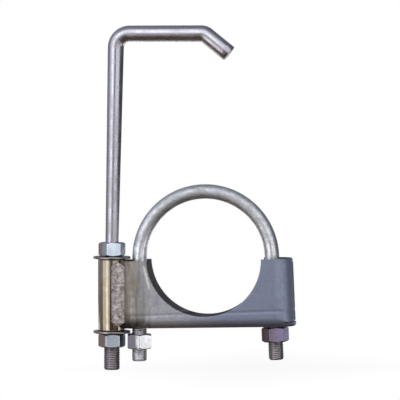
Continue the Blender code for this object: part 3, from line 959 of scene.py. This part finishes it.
def bent_bar():
    """A bar that follows its path: round, with a right-hand thread where the path says so."""
    nodes, given, results = new_tree(
        "Bent bar",
        "GeometryNodeTree",
        [
            ("Geometry", GEOMETRY),
            ("Sides", "NodeSocketInt", BAR_SIDES),
            ("Pitch", FLOAT, 0.001),
            ("Depth", FLOAT, 0.0005),
            ("Material", "NodeSocketMaterial"),
        ],
        [("Geometry", GEOMETRY)],
    )

    def named(name, kind="FLOAT"):
        inputs = {"Name": name}
        return nodes.add("GeometryNodeInputNamedAttribute", inputs, data_type=kind)[0]

    def stored(geometry, name, value, kind="FLOAT_VECTOR"):
        inputs = {"Geometry": geometry, "Name": name, "Value": value}
        store = "GeometryNodeStoreNamedAttribute"
        return nodes.add(store, inputs, data_type=kind, domain="POINT")[0]

    path = nodes.add("GeometryNodeMeshToCurve", {0: given["Geometry"]})[0]
    path = stored(path, "along", nodes.add("GeometryNodeSplineParameter")["Length"], "FLOAT")
    circle = {"Resolution": given["Sides"], "Radius": 1.0}
    section = nodes.add("GeometryNodeCurvePrimitiveCircle", circle)[0]
    section = stored(section, "around", nodes.add("GeometryNodeInputPosition")[0])
    sweep = {"Curve": path, "Profile Curve": section, "Scale": named("thick"), "Fill Caps": True}
    mesh = nodes.add("GeometryNodeCurveToMesh", sweep)[0]

    # The thread is cut inwards by a wave that climbs one pitch for each turn round the bar.
    x, y, _ = nodes.parts(named("around", "FLOAT_VECTOR"))
    turn = nodes.math("DIVIDE", nodes.math("ARCTAN2", y, x), math.tau)
    turns = nodes.math("DIVIDE", named("along"), given["Pitch"])
    wave = nodes.times(nodes.math("PINGPONG", nodes.minus(turns, turn), 0.5), 2.0)
    cut = nodes.times(nodes.minus(1.0, nodes.fade(wave, 0.14, 0.80)), given["Depth"])
    deep = nodes.times(nodes.times(cut, named("threaded")), -1.0)
    inwards = nodes.vector("SCALE", named("outwards", "FLOAT_VECTOR"), Scale=deep)

    # Where each point would be if the bar were straight, for the finish to read.
    flat = nodes.vector("SCALE", nodes.joined(x, y), Scale=named("thick"))
    upright = nodes.joined(0.0, 0.0, named("along"))
    mesh = stored(mesh, "straight", nodes.vector("ADD", flat, upright))
    mesh = stored(mesh, "outwards", nodes.add("GeometryNodeInputNormal")[0])
    mesh = nodes.add("GeometryNodeSetPosition", {"Geometry": mesh, "Offset": inwards})[0]
    mesh = nodes.add("GeometryNodeRealizeInstances", {0: mesh})[0]
    metal = {"Geometry": mesh, "Material": given["Material"]}
    nodes.feed(results, {0: nodes.add("GeometryNodeSetMaterial", metal)[0]})
    return nodes.tree


def bar_mesh(stations, matrix, material):
    """A bar through (point, radius, thread share) stations."""
    points, thick, threaded = zip(*stations)
    source = bpy.data.meshes.new("path")
    edges = [(i, i + 1) for i in range(len(points) - 1)]
    source.from_pydata([matrix @ point for point in points], edges, [])
    for name, values in (("thick", thick), ("threaded", threaded)):
        source.attributes.new(name, "FLOAT", "POINT").data.foreach_set("value", values)
    holder = new_object("holder", source)
    modifier = holder.modifiers.new("bar", "NODES")
    tree = modifier.node_group = bpy.data.node_groups.get("Bent bar") or bent_bar()
    hardware = hardware_sizes()
    inputs = {"Pitch": hardware.pitch, "Depth": hardware.thread_depth, "Material": material}
    for item in tree.interface.items_tree:
        if item.in_out == "INPUT" and item.name in inputs:
            modifier[item.identifier] = inputs[item.name]
    mesh = plain_mesh(holder)
    mesh.shade_smooth()
    mesh.set_sharp_from_angle(angle=math.radians(50))
    return mesh


def thread_stations(start, end, radius, bar_radius):
    """Close stations from a chamfered end at start, along a thread, to its run-out at end."""
    chamfer, run_out = rod_sizes().end_chamfer, rod_sizes().run_out
    whole = (end - start).length
    direction = (end - start).normalized()
    count = round(whole / (hardware_sizes().pitch / STEPS_PER_THREAD))
    stations = []
    for i in range(count + 1):
        run = whole * i / count
        ended = max(0.0, 1 - (whole - run) / run_out)
        thick = radius + (bar_radius - radius) * ended - max(0.0, chamfer - run)
        thread = min(1.0, (run + chamfer / 2) / chamfer) * (1 - ended)
        stations.append((start + direction * run, thick, thread))
    return stations


class HANGER_OT_u_bolt(bpy.types.Operator):
    """Bends the U-bolt and cuts its two threads"""

    bl_idname = "hanger.u_bolt"
    bl_label = "U-bolt"

    def execute(self, context):
        clamp, colours = clamp_sizes(), finishes()
        lean, bend, bar = clamp.end_lean, clamp.bolt_radius, clamp.bar_diameter / 2

        def on_arc(turn):
            return Vector((bend * math.cos(turn), 0, bend * math.sin(turn)))

        down = Vector((math.sin(lean), 0, -math.cos(lean)))
        start = on_arc(lean)
        tip = start + down * (start.z - clamp.base_z + clamp.bolt_tail) / math.cos(lean)
        thread_top = tip - down * clamp.thread_length
        leg = thread_stations(tip, thread_top, clamp.thread_diameter / 2, bar)
        arc = [
            (on_arc(lean + (math.pi - 2 * lean) * i / ARC_STEPS), bar, 0.0)
            for i in range(ARC_STEPS + 1)
        ]
        far_leg = [
            (Vector((-point.x, 0, point.z)), thick, thread)
            for point, thick, thread in reversed(leg)
        ]
        material = bar_zinc(
            "bolt_zinc", colours.bolt, colours.bolt_patch, colours.bolt_dull,
            dull_from=0.008, dull_to=0.036, mottle_scale=190.0, seed=1.0, line_share=0.45,
            line_slant=0.45, dirt_from=0.0, rough=0.32, relief=0.3,
        )
        mesh = bar_mesh(leg + arc + far_leg, Matrix.Identity(4), material)
        add_piece("u_bolt_bar", mesh, material, "u_bolt", "u_bolt")
        return {"FINISHED"}


def straight_run(start, end):
    """Points from just after start to end."""
    count = max(1, round((end - start).length / STRAIGHT_STEP))
    return [start.lerp(end, i / count) for i in range(1, count + 1)]


def filleted(corners, radii):
    """Points along a line through the corners, with each inner corner rounded."""
    directions = [(b - a).normalized() for a, b in zip(corners, corners[1:])]
    path = [corners[0]]
    for corner, before, after, radius in zip(corners[1:-1], directions, directions[1:], radii):
        turn = before.angle(after)
        start = corner - before * radius * math.tan(turn / 2)
        axis = before.cross(after).normalized()
        centre = start + axis.cross(before) * radius
        path += straight_run(path[-1], start)[:-1]
        for i in range(BEND_STEPS + 1):
            bent = Matrix.Rotation(turn * i / BEND_STEPS, 3, axis)
            path.append(centre + bent @ (start - centre))
    return path + straight_run(path[-1], corners[-1])


class HANGER_OT_hook_rod(bpy.types.Operator):
    """Bends the hook rod and cuts its thread"""

    bl_idname = "hanger.hook_rod"
    bl_label = "Hook rod"

    def execute(self, context):
        tube, hardware, rod, colours = tube_sizes(), hardware_sizes(), rod_sizes(), finishes()
        stack = hardware.washer_thickness + hardware.rod_nut_height + 2 * hardware.seated_gap
        bottom = tube.rise - tube_length() - stack - rod.tail
        nut_top = tube.rise + stack
        hook_z = tube.rise + rod.hook_rise
        shank, hook, tip = (
            size / 2 for size in (rod.shank_diameter, rod.hook_diameter, rod.tip_diameter)
        )
        knee = Vector(((hook_z - nut_top) * math.tan(rod.shank_lean), 0, hook_z))
        elbow = Vector((rod.arm_reach, 0, hook_z))
        drop = Vector((math.cos(rod.tip_drop), 0, -math.sin(rod.tip_drop)))
        corners = [Vector((0, 0, nut_top)), knee, elbow, elbow + drop * rod.tip_length]
        thread_top = Vector((0, 0, nut_top - rod.run_out / 2))
        thread = thread_stations(
            Vector((0, 0, bottom)), thread_top, rod.thread_diameter / 2, shank
        )

        # The bar swells from the shank to the hook, and a little more to its tip.
        path = filleted(corners, (rod.hook_bend, rod.tip_bend))
        runs = [0.0]
        for before, after in zip(path, path[1:]):
            runs.append(runs[-1] + (after - before).length)
        hook_share = (hook_z - nut_top) / runs[-1]
        upper = []
        for point, run in zip(path, runs):
            part = run / runs[-1]
            if part < hook_share:
                thick = shank + (hook - shank) * part / hook_share
            else:
                thick = hook + (tip - hook) * (part - hook_share) / (1 - hook_share)
            upper.append((point, thick, 0.0))
        point, thick, _ = upper.pop()
        edge = rod.tip_chamfer
        upper += [(point - drop * edge, thick, 0.0), (point, thick - edge, 0.0)]
        material = bar_zinc(
            "rod_zinc", colours.rod, colours.rod_stain, colours.rod_dull,
            dull_from=0.12, dull_to=0.30, mottle_scale=70.0, seed=4.0, line_share=0.25,
            line_slant=0.0, dirt_from=-1.0, rough=0.24, relief=0.12,
        )
        mesh = bar_mesh(thread + upper, tube_frame(), material)
        add_piece("hook_rod_bar", mesh, material, "hook_rod", "hook_rod")
        return {"FINISHED"}


# Tube, welds, washers and nuts ----------------------------------------------------------


TUBE_STEPS = 112
WASHER_STEPS = 96
NUT_STEPS = 96
NUT_FACE_SHARE = 0.95
NUT_CHAMFER = 30
EDGE_STEPS = 5
WELD_COLUMNS = 36
WELD_ROWS = 260


def sleeve(outer, bore, top, bottom, edge, steps):
    """A ring or tube about the tube's axis, with rounded edges."""
    corners = [(outer, bottom), (outer, top), (bore, top), (bore, bottom)]
    outline = rounded(corners, edge, EDGE_STEPS)
    return placed(turned(outline, steps, hollow=True), tube_frame())


class HANGER_OT_tube(bpy.types.Operator):
    """Turns the tube that carries the hook rod"""

    bl_idname = "hanger.tube"
    bl_label = "Tube"

    def execute(self, context):
        tube = tube_sizes()
        foot = tube.rise - tube_length()
        mesh = sleeve(tube.diameter / 2, tube.bore / 2, tube.rise, foot, tube.edge, TUBE_STEPS)
        add_piece("tube_shell", mesh, tube_zinc(), "saddle", "hanger_tube")
        return {"FINISHED"}


def weld_bead(side):
    """A bead between the tube and the wrapped end: crescent ripples, lumps and pits."""
    clamp, tube = clamp_sizes(), tube_sizes()
    on_tube, on_shell = tube.diameter / 2, clamp.width / 2
    apart = leg_to_tube() - (end_reach() - on_shell)
    top, bottom = -tube.weld_top, clamp.base_z + tube.weld_foot
    start = polar(on_tube, tube.weld_on_tube, 0).to_2d()
    end = Vector((apart, 0)) - polar(on_shell, -tube.weld_on_sheet, 0).to_2d()
    chord = end - start
    outwards = Vector((-chord.y, chord.x)).normalized()
    outwards = outwards if outwards.y > 0 else -outwards
    root, root_half, taper, ripple_share, bow, waver_out = 0.25, 0.2, 0.06, 0.06, 0.0006, 0.0004
    bm = bmesh.new()
    rings = []
    for row in range(WELD_ROWS + 1):
        part = row / WELD_ROWS
        z = top + (bottom - top) * part
        narrow = math.sqrt(min(1.0, (part + 0.004) / taper, (1.004 - part) / taper))
        points = []
        for column in range(WELD_COLUMNS + 1):
            spread = column / WELD_COLUMNS
            crown = math.sin(math.pi * spread)
            waver = noise.noise(Vector((side * 9.0, 0.0, z * 260))) * 0.35
            ripple = math.cos(math.tau * (z / tube.weld_ripple + 0.45 * crown + waver))
            lumps = noise.fractal(Vector((spread * 3, side * 3.1, z * 240)), 0.7, 2.1, 5)
            height = tube.weld_crown * crown ** 0.8 * (1 - ripple_share + ripple_share * ripple)
            height += tube.weld_lumps * lumps * crown
            point = start.lerp(end, 0.5 + (spread - 0.5) * narrow) + outwards * height * narrow
            shift = noise.noise(Vector((side, spread * 2, z * 500))) * waver_out
            point += chord.normalized() * shift
            points.append((point.x, side * point.y, z + bow * crown * (1 - 2 * part)))
        deep = start.lerp(end, 0.5) - outwards * chord.length * root
        for half in (root_half, -root_half):
            points.append((deep.x + chord.x * half, side * (deep.y + chord.y * half), z))
        rings.append(add_ring(bm, points))
    bridge(bm, *rings, capped=True)
    return placed(bm, tube_frame())


class HANGER_OT_welds(bpy.types.Operator):
    """Lays the two weld beads"""

    bl_idname = "hanger.welds"
    bl_label = "Welds"

    def execute(self, context):
        material = bead_metal()
        for name, node, side in (
            ("weld_front", "weld_bead_front", -1),
            ("weld_rear", "weld_bead_rear", 1),
        ):
            add_piece(name, weld_bead(side), material, "saddle", node)
        return {"FINISHED"}


class HANGER_OT_washers(bpy.types.Operator):
    """Turns the two flat washers"""

    bl_idname = "hanger.washers"
    bl_label = "Washers"

    def execute(self, context):
        tube, hardware = tube_sizes(), hardware_sizes()
        outer, bore = hardware.washer_diameter / 2, hardware.washer_bore / 2
        thick, gap = hardware.washer_thickness, hardware.seated_gap
        foot = tube.rise - tube_length() - gap - thick
        for name, node, z in (
            ("washer_top", "upper_washer", tube.rise + gap),
            ("washer_foot", "lower_washer", foot),
        ):
            mesh = sleeve(outer, bore, z + thick, z, hardware.washer_edge, WASHER_STEPS)
            add_piece(name, mesh, nut_finish("washer_zinc"), "washers", node)
        return {"FINISHED"}


def nut_mesh(bottom, height, thread_radius, turn, matrix):
    """A hexagon nut: chamfered corners that leave arcs on the flats, and a countersunk bore."""
    hardware = hardware_sizes()
    flat, bore = hardware.nut_flats / 2, thread_radius + hardware.nut_clearance
    face, sink = flat * NUT_FACE_SHARE, hardware.nut_sink
    slope = math.tan(math.radians(NUT_CHAMFER))
    sides = []
    for i in range(NUT_STEPS):
        around = math.tau * i / NUT_STEPS
        nearest = around % (math.pi / 3) - math.pi / 6
        sides.append((around + turn, flat / math.cos(nearest)))
    top = bottom + height

    def at(radius, z):
        return [polar(radius, around, z) for around, _ in sides]

    def on_flats(z, up):
        return [polar(side, around, z - up * (side - face) * slope) for around, side in sides]

    bm = bmesh.new()
    rings = [at(bore, bottom + sink), at(bore + sink, bottom), at(face, bottom),
             on_flats(bottom, -1), on_flats(top, 1), at(face, top), at(bore + sink, top),
             at(bore, top - sink)]
    rings = [add_ring(bm, points) for points in rings]
    bridge(bm, *rings, rings[0])
    edge = bevel(hardware.nut_edge, sharper_than=22)
    return worked(placed(bm, matrix), edge, WEIGHTED)


class HANGER_OT_nuts(bpy.types.Operator):
    """Makes the four hexagon nuts"""

    bl_idname = "hanger.nuts"
    bl_label = "Nuts"

    def execute(self, context):
        clamp, tube, hardware, rod = clamp_sizes(), tube_sizes(), hardware_sizes(), rod_sizes()
        gap, lean = hardware.seated_gap, clamp.end_lean
        rod_nut, bolt_nut = hardware.rod_nut_height, hardware.bolt_nut_height
        on_washer = tube.rise + 2 * gap + hardware.washer_thickness
        under_washer = tube.rise - tube_length() - 2 * gap - hardware.washer_thickness
        backed_off = under_washer - leg_to_tube() * math.tan(lean)
        tight = (clamp.base_z - gap) / math.cos(lean) - hardware.corner_radius * math.tan(lean)
        rod_thread, bolt_thread = rod.thread_diameter / 2, clamp.thread_diameter / 2
        upper = on_washer, rod_nut, rod_thread, hardware.upper_turn, tube_frame()
        lower = under_washer - rod_nut, rod_nut, rod_thread, hardware.lower_turn, tube_frame()
        left = backed_off - bolt_nut, bolt_nut, bolt_thread, hardware.left_turn, leg_frame(-1)
        right = tight - bolt_nut, bolt_nut, bolt_thread, hardware.right_turn, leg_frame(1)
        for name, sizes, metal, body, slot, node in (
            ("nut_top", upper, "rod_nut_zinc", "upper_nut", "bright_zinc", "upper_rod_nut"),
            ("nut_foot", lower, "rod_nut_zinc", "lower_nut", "bright_zinc", "lower_rod_nut"),
            ("nut_left", left, "left_nut_zinc", "left_nut", "bright_zinc", "u_bolt_nut_left"),
            ("nut_right", right, "right_nut_zinc", "right_nut", "dull_zinc", "u_bolt_nut_right"),
        ):
            add_piece(name, nut_mesh(*sizes), nut_finish(metal), body, node)
        return {"FINISHED"}


# Studio ---------------------------------------------------------------------------------


LAMP_DISTANCE = 0.9
SENSOR_WIDTH = 36.0
FLOOR_HALF_WIDTH, FLOOR_FRONT, FLOOR_BACK = 0.5, 0.13, 0.9
WHITE = (1, 1, 1, 1)
# What each light spans, in degrees to the camera's right and degrees above its level
LAMPS = {
    "left_light": ((-80, -17), (-30, 48)),
    "left_core": ((-50, -31), (-30, 48)),
    "front_light": ((-20, 8), (14, 66)),
    "right_light": ((5, 61), (-16, 52)),
    "low_light": ((56, 76), (-32, -8)),
}


def add_lamp(name, spans, aim):
    """A soft light that spans the given degrees, seen from where the camera aims."""
    across, up = (math.radians(sum(span) / 2) for span in spans)
    width, height = (
        2 * LAMP_DISTANCE * math.tan(math.radians(high - low) / 2) for low, high in spans
    )
    lamp = bpy.data.lights.new(name, "AREA")
    lamp.shape, lamp.size, lamp.size_y = "RECTANGLE", width, height
    lamp.energy = getattr(studio_sizes(), name) * math.pi * width * height
    turn = studio_sizes().azimuth + across
    level = math.cos(up)
    towards = Vector((math.sin(turn) * level, -math.cos(turn) * level, math.sin(up)))
    holder = new_object(name, lamp)
    holder.location = aim + towards * LAMP_DISTANCE
    holder.rotation_euler = (-towards).to_track_quat("-Z", "Y").to_euler()


def add_camera(aim):
    studio = studio_sizes()
    turn, roll, pitch = studio.azimuth, studio.roll, studio.pitch
    across = Vector((math.cos(turn), math.sin(turn), 0))
    level = Vector((math.sin(turn), -math.cos(turn), 0))
    back = level * math.cos(pitch) + Vector((0, 0, math.sin(pitch)))
    up = back.cross(across)
    right = across * math.cos(roll) - up * math.sin(roll)
    above = across * math.sin(roll) + up * math.cos(roll)
    camera = bpy.data.cameras.new("camera")
    camera.lens, camera.sensor_width = studio.lens, SENSOR_WIDTH
    place = Matrix((right, above, back)).transposed().to_4x4()
    place.translation = aim + back * studio.distance
    holder = new_object("camera", camera)
    holder.matrix_world = place
    bpy.context.scene.camera = holder


def cleared(holder):
    """The emptied node tree of a new material or world."""
    holder.use_nodes = True
    holder.node_tree.nodes.clear()
    return Nodes(holder.node_tree)


def put_out(nodes, kind, mask, dim, bright):
    """Ends a tree in one shader where the mask is 0 and another where it is 1."""
    mixed = nodes.add("ShaderNodeMixShader", {0: mask, 1: dim, 2: bright})[0]
    nodes.add(kind, {0: mixed})


def add_floor():
    """A plain pale floor, white to the camera and in reflections, that keeps the shadow.

    It is all white at its rim, and a little less under the part so that the shadow shows.
    """
    z = cad_low.z - studio_sizes().floor_drop
    corners = (-1, FLOOR_FRONT), (1, FLOOR_FRONT), (1, FLOOR_BACK), (-1, FLOOR_BACK)
    mesh = bpy.data.meshes.new("floor")
    points = [(side * FLOOR_HALF_WIDTH, y, z) for side, y in corners]
    mesh.from_pydata(points, [], [(0, 1, 2, 3)])
    new_object("floor", mesh)
    material = bpy.data.materials.new("floor")
    mesh.materials.append(material)
    nodes = cleared(material)
    x, y, _ = nodes.parts(nodes.add("ShaderNodeTexCoord")["Object"])
    away = nodes.plus(nodes.size(x), nodes.size(nodes.minus(y, 0.3)))
    share = nodes.fade(away, 0.02, 0.17, 0.92, 1.0)
    path = nodes.add("ShaderNodeLightPath")
    seen = nodes.most(path["Is Camera Ray"], path["Is Glossy Ray"])
    seen = nodes.times(nodes.most(seen, path["Is Transmission Ray"]), share)
    pale = nodes.add("ShaderNodeBsdfDiffuse", {"Color": (0.8, 0.8, 0.8, 1)})[0]
    white = nodes.add("ShaderNodeEmission", {"Color": WHITE, "Strength": 1.0})[0]
    put_out(nodes, "ShaderNodeOutputMaterial", seen, pale, white)


def add_world():
    """A dim room, brown below and blue above, that is white to the camera and behind the part."""
    studio = studio_sizes()
    world = bpy.context.scene.world = bpy.data.worlds.new("room")
    nodes = cleared(world)
    x, y, z = nodes.parts(nodes.add("ShaderNodeTexCoord")["Generated"])
    tint = nodes.mix(nodes.fade(z, -0.28, 0.10), studio.room_low, studio.room_high)
    strength = nodes.fade(x, -0.8, 0.9, 1.25, 0.32)
    room = nodes.add("ShaderNodeBackground", {"Color": tint, "Strength": strength})[0]
    white = nodes.add("ShaderNodeBackground", {"Color": WHITE, "Strength": 1.0})[0]
    path = nodes.add("ShaderNodeLightPath")
    reflected = nodes.most(path["Is Glossy Ray"], path["Is Transmission Ray"])
    behind = nodes.times(reflected, nodes.fade(y, 0.994, 0.999))
    seen = nodes.most(path["Is Camera Ray"], behind)
    put_out(nodes, "ShaderNodeOutputWorld", seen, room, white)


class HANGER_OT_stage(bpy.types.Operator):
    """Sets the camera, the floor, the backdrop and the lights"""

    bl_idname = "hanger.stage"
    bl_label = "Stage"

    def execute(self, context):
        aim = Vector((studio_sizes().aim_x, 0, studio_sizes().aim_z))
        add_camera(aim)
        add_floor()
        for name, spans in LAMPS.items():
            add_lamp(name, spans, aim)
        add_world()
        context.scene.view_settings.view_transform = "Standard"
        return {"FINISHED"}


# Add-on ---------------------------------------------------------------------------------


class HANGER_PT_panel(bpy.types.Panel):
    """Lists the pieces of the hanger"""

    bl_label = "Exhaust hanger"
    bl_idname = "HANGER_PT_panel"
    bl_space_type = "VIEW_3D"
    bl_region_type = "UI"
    bl_category = "Hanger"

    def draw(self, context):
        for operator in OPERATORS:
            self.layout.operator(operator.bl_idname)
        for holder, (_, label) in HOLDERS.items():
            box = self.layout.box()
            box.label(text=label)
            for name in getattr(context.scene, holder).__annotations__:
                box.prop(getattr(context.scene, holder), name)


HOLDERS = {
    "hanger_clamp": (ClampSizes, "Clamp"),
    "hanger_tube": (TubeSizes, "Tube and welds"),
    "hanger_hardware": (HardwareSizes, "Nuts and washers"),
    "hanger_rod": (RodSizes, "Hook rod"),
    "hanger_finishes": (FinishColours, "Finishes"),
    "hanger_studio": (StudioSizes, "Studio"),
}
OPERATORS = (
    HANGER_OT_stage,
    HANGER_OT_saddle,
    HANGER_OT_u_bolt,
    HANGER_OT_tube,
    HANGER_OT_welds,
    HANGER_OT_washers,
    HANGER_OT_nuts,
    HANGER_OT_hook_rod,
)


def register():
    for holder, (sizes, _) in HOLDERS.items():
        bpy.utils.register_class(sizes)
        setattr(bpy.types.Scene, holder, PointerProperty(type=sizes))
    for made in (*OPERATORS, HANGER_PT_panel):
        bpy.utils.register_class(made)


def unregister():
    for made in (HANGER_PT_panel, *reversed(OPERATORS)):
        bpy.utils.unregister_class(made)
    for holder, (sizes, _) in HOLDERS.items():
        delattr(bpy.types.Scene, holder)
        bpy.utils.unregister_class(sizes)


def main():
    register()
    for operator in OPERATORS:
        group, name = operator.bl_idname.split(".")
        getattr(getattr(bpy.ops, group), name)()


if __name__ == "__main__":
    main()
